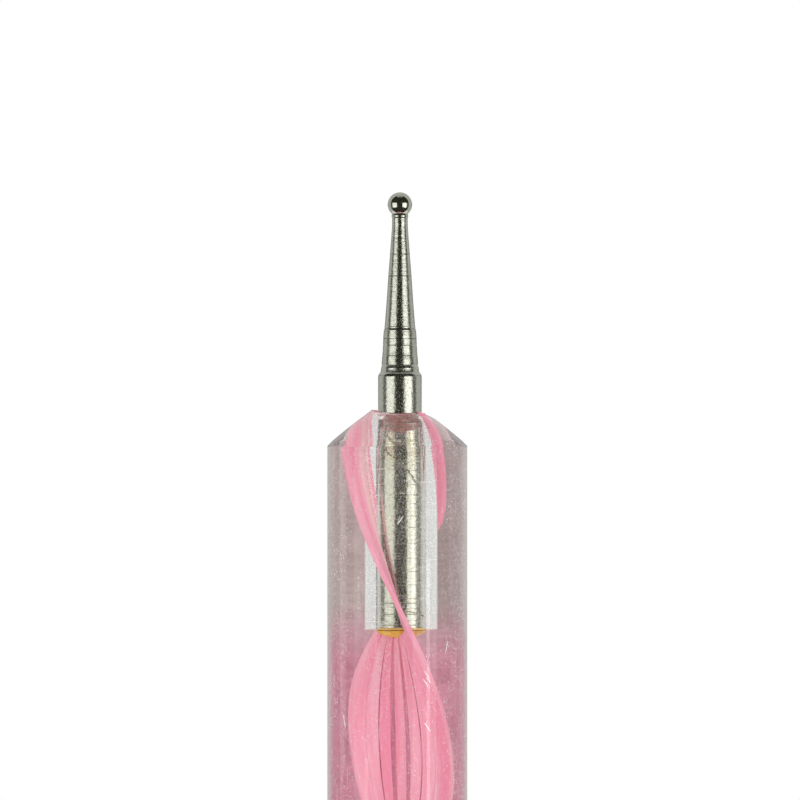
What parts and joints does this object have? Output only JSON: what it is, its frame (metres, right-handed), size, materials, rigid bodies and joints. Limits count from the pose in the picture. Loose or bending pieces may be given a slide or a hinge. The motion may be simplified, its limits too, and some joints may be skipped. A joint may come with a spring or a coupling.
{
  "type": "embossing stylus",
  "caption": "Double-ended embossing stylus: polished ball tips on turned metal stems, glued into a coned clear round handle that holds a twisted ribbon of coloured strands.",
  "frame": {"origin": "middle of the handle, on its axis", "axes": "+Z along the handle towards the fine ball; +X towards the side that the drilled holes lie off centre"},
  "size_m": [0.008, 0.008, 0.13],
  "materials": {
    "clear_acrylic": "clear acrylic, polished outside, faint mauve tint, fine scratches",
    "pink_strand": "opaque pink plastic, moulded inside the handle",
    "nickel_stem": "nickel-plated, turned, with fine tool rings",
    "polished_ball": "polished nickel",
    "braze": "satin nickel-coloured braze",
    "amber_glue": "set amber glue, glossy"
  },
  "bodies": {
    "root": {"handle_rod": "clear_acrylic", "strand_1": "pink_strand", "strand_2": "pink_strand", "strand_3": "pink_strand", "strand_4": "pink_strand", "strand_5": "pink_strand", "strand_6": "pink_strand", "strand_7": "pink_strand", "fine_stem": "nickel_stem", "fine_ball": "polished_ball", "fine_braze_bead": "braze", "fine_glue_ring": "amber_glue", "fine_glue_plug": "amber_glue", "broad_stem": "nickel_stem", "broad_ball": "polished_ball", "broad_braze_bead": "braze", "broad_glue_ring": "amber_glue", "broad_glue_plug": "amber_glue"}
  },
  "joints": []
}
